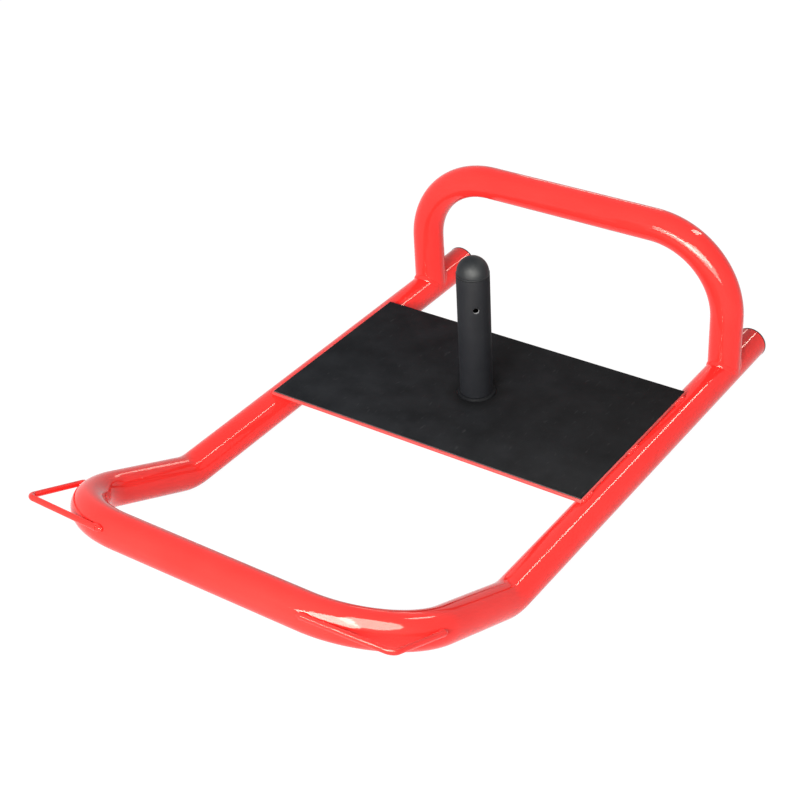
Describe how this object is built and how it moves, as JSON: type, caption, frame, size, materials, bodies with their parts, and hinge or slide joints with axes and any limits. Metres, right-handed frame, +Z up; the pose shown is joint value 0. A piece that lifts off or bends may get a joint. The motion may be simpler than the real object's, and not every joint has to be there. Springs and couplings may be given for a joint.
{
  "type": "drag sled",
  "caption": "Steel tube sled that is loaded with weight plates on a centre peg and pushed by its handle or towed by the loops at its upturned nose.",
  "frame": {"origin": "on the ground, under the middle of the sled's box", "axes": "+Z up, +Y towards the rear, where the person pushes, -Y towards the upturned nose, +X to that person's left"},
  "size_m": [0.5734, 0.966, 0.2719],
  "materials": {
    "red_paint": "gloss powder coat",
    "black_paint": "satin powder coat",
    "mat_rubber": "fine grained",
    "cap_plastic": "satin moulded",
    "plug_plastic": "satin moulded",
    "zinc_steel": "zinc plated"
  },
  "bodies": {
    "root": {"frame_tube": "red_paint", "push_handle": "red_paint", "deck_plate": "red_paint", "deck_mat": "mat_rubber", "weight_peg": "black_paint", "peg_foot_ring": "black_paint", "peg_cap": "cap_plastic", "peg_threaded_plug": "zinc_steel", "peg_washer": "zinc_steel", "peg_bolt": "zinc_steel", "rear_end_plug_left": "plug_plastic", "rear_end_plug_right": "plug_plastic", "handle_weld_left": "red_paint", "handle_weld_right": "red_paint", "tow_loop_left": "red_paint", "tow_loop_right": "red_paint", "tow_loop_weld_left_front": "red_paint", "tow_loop_weld_left_side": "red_paint", "tow_loop_weld_right_front": "red_paint", "tow_loop_weld_right_side": "red_paint", "deck_weld_left_front": "red_paint", "deck_weld_left_middle": "red_paint", "deck_weld_left_rear": "red_paint", "deck_weld_right_front": "red_paint", "deck_weld_right_middle": "red_paint", "deck_weld_right_rear": "red_paint"}
  },
  "joints": []
}
